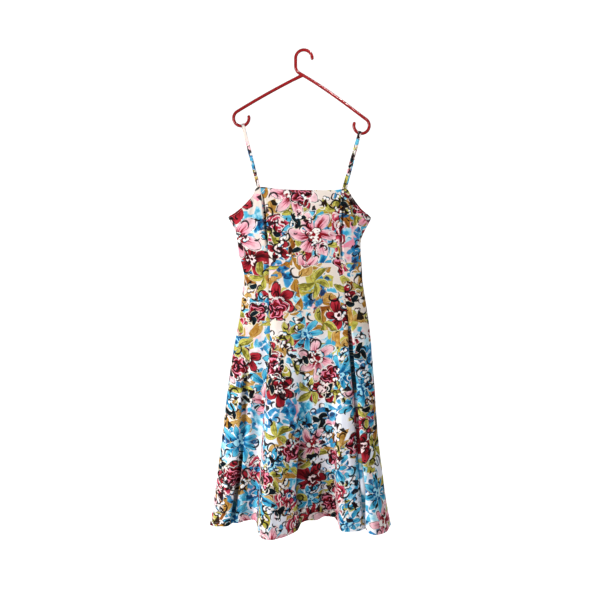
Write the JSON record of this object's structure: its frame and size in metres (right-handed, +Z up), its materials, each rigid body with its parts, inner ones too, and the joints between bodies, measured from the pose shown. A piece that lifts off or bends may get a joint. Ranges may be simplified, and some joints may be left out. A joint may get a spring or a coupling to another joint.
{
  "type": "sundress on a clothes hanger",
  "caption": "Flared sundress with narrow straps and full-length panels, hanging by its straps from a bent plastic rod hanger.",
  "frame": {"origin": "underside of the crown of the hanger's top hook, where it bears on a rail", "axes": "+Z up, +X to the right of a viewer who faces the front of the dress, the front faces -Y"},
  "size_m": [0.5619, 0.2206, 1.443],
  "materials": {
    "printed_cotton": "woven cotton with a printed flower pattern",
    "hanger_plastic": "glossy dark red"
  },
  "bodies": {
    "root": {"hanger_hook": "hanger_plastic", "hanger_arm_left": "hanger_plastic", "hanger_arm_right": "hanger_plastic", "front_side_left": "printed_cotton", "front_centre": "printed_cotton", "front_side_right": "printed_cotton", "back_side_left": "printed_cotton", "back_centre": "printed_cotton", "back_side_right": "printed_cotton", "strap_left": "printed_cotton", "strap_right": "printed_cotton"}
  },
  "joints": []
}
